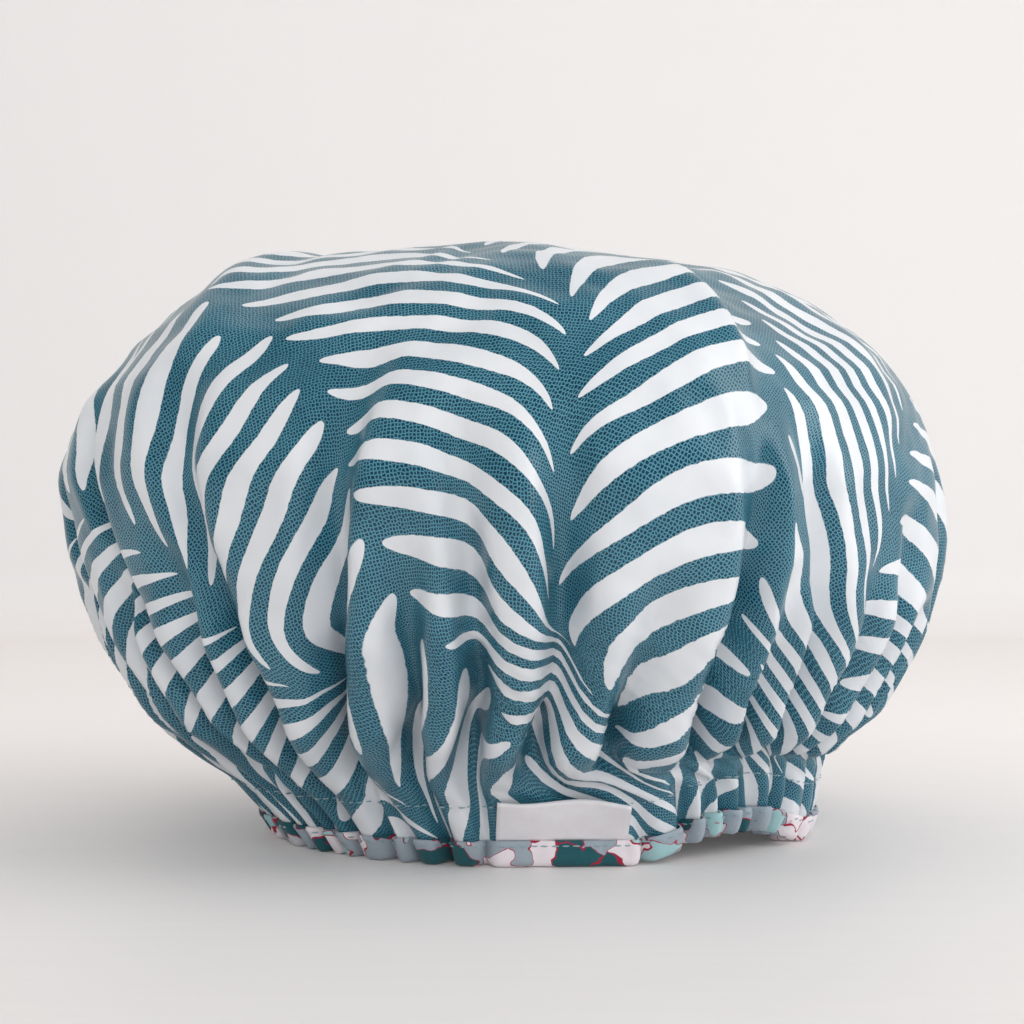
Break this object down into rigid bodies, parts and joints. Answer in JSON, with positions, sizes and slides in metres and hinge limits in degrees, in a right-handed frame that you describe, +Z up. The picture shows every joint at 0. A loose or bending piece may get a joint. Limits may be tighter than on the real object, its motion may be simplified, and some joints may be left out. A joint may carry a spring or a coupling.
{
  "type": "shower cap",
  "caption": "Lined shower cap in teal and white striped fabric, gathered by an elastic hem with a contrast binding and a blank ribbon label.",
  "frame": {"origin": "middle of the bounding box, on the surface that the hem rests on", "axes": "+Z up through the crown, -Y the front with the label, +X to the right of someone facing the label"},
  "size_m": [0.255, 0.2429, 0.169],
  "materials": {
    "printed_fabric": "laminated cotton, teal and white print, soft sheen",
    "lining_fabric": "waterproof lining, smooth",
    "binding_fabric": "woven cotton print",
    "elastic": "knitted elastic",
    "thread": "sewing thread",
    "label_ribbon": "satin ribbon"
  },
  "bodies": {
    "cap": {"outer_shell": "printed_fabric", "lining": "lining_fabric", "hem_binding": "binding_fabric", "elastic_band": "elastic", "elastic_join_stitch": "thread", "channel_top_thread": "thread", "channel_bobbin_thread": "thread", "binding_top_thread": "thread", "binding_bobbin_thread": "thread"},
    "label": {"label_tab": "label_ribbon"}
  },
  "joints": [
    {"name": "label_hinge", "type": "hinge", "parent": "cap", "child": "label", "pos_m": [0.01637, -0.07152, 0.0072], "axis": [0.9981, 0.061, 0], "range_deg": [-6, 85], "stiffness_Nm_per_rad": 0.0002}
  ]
}
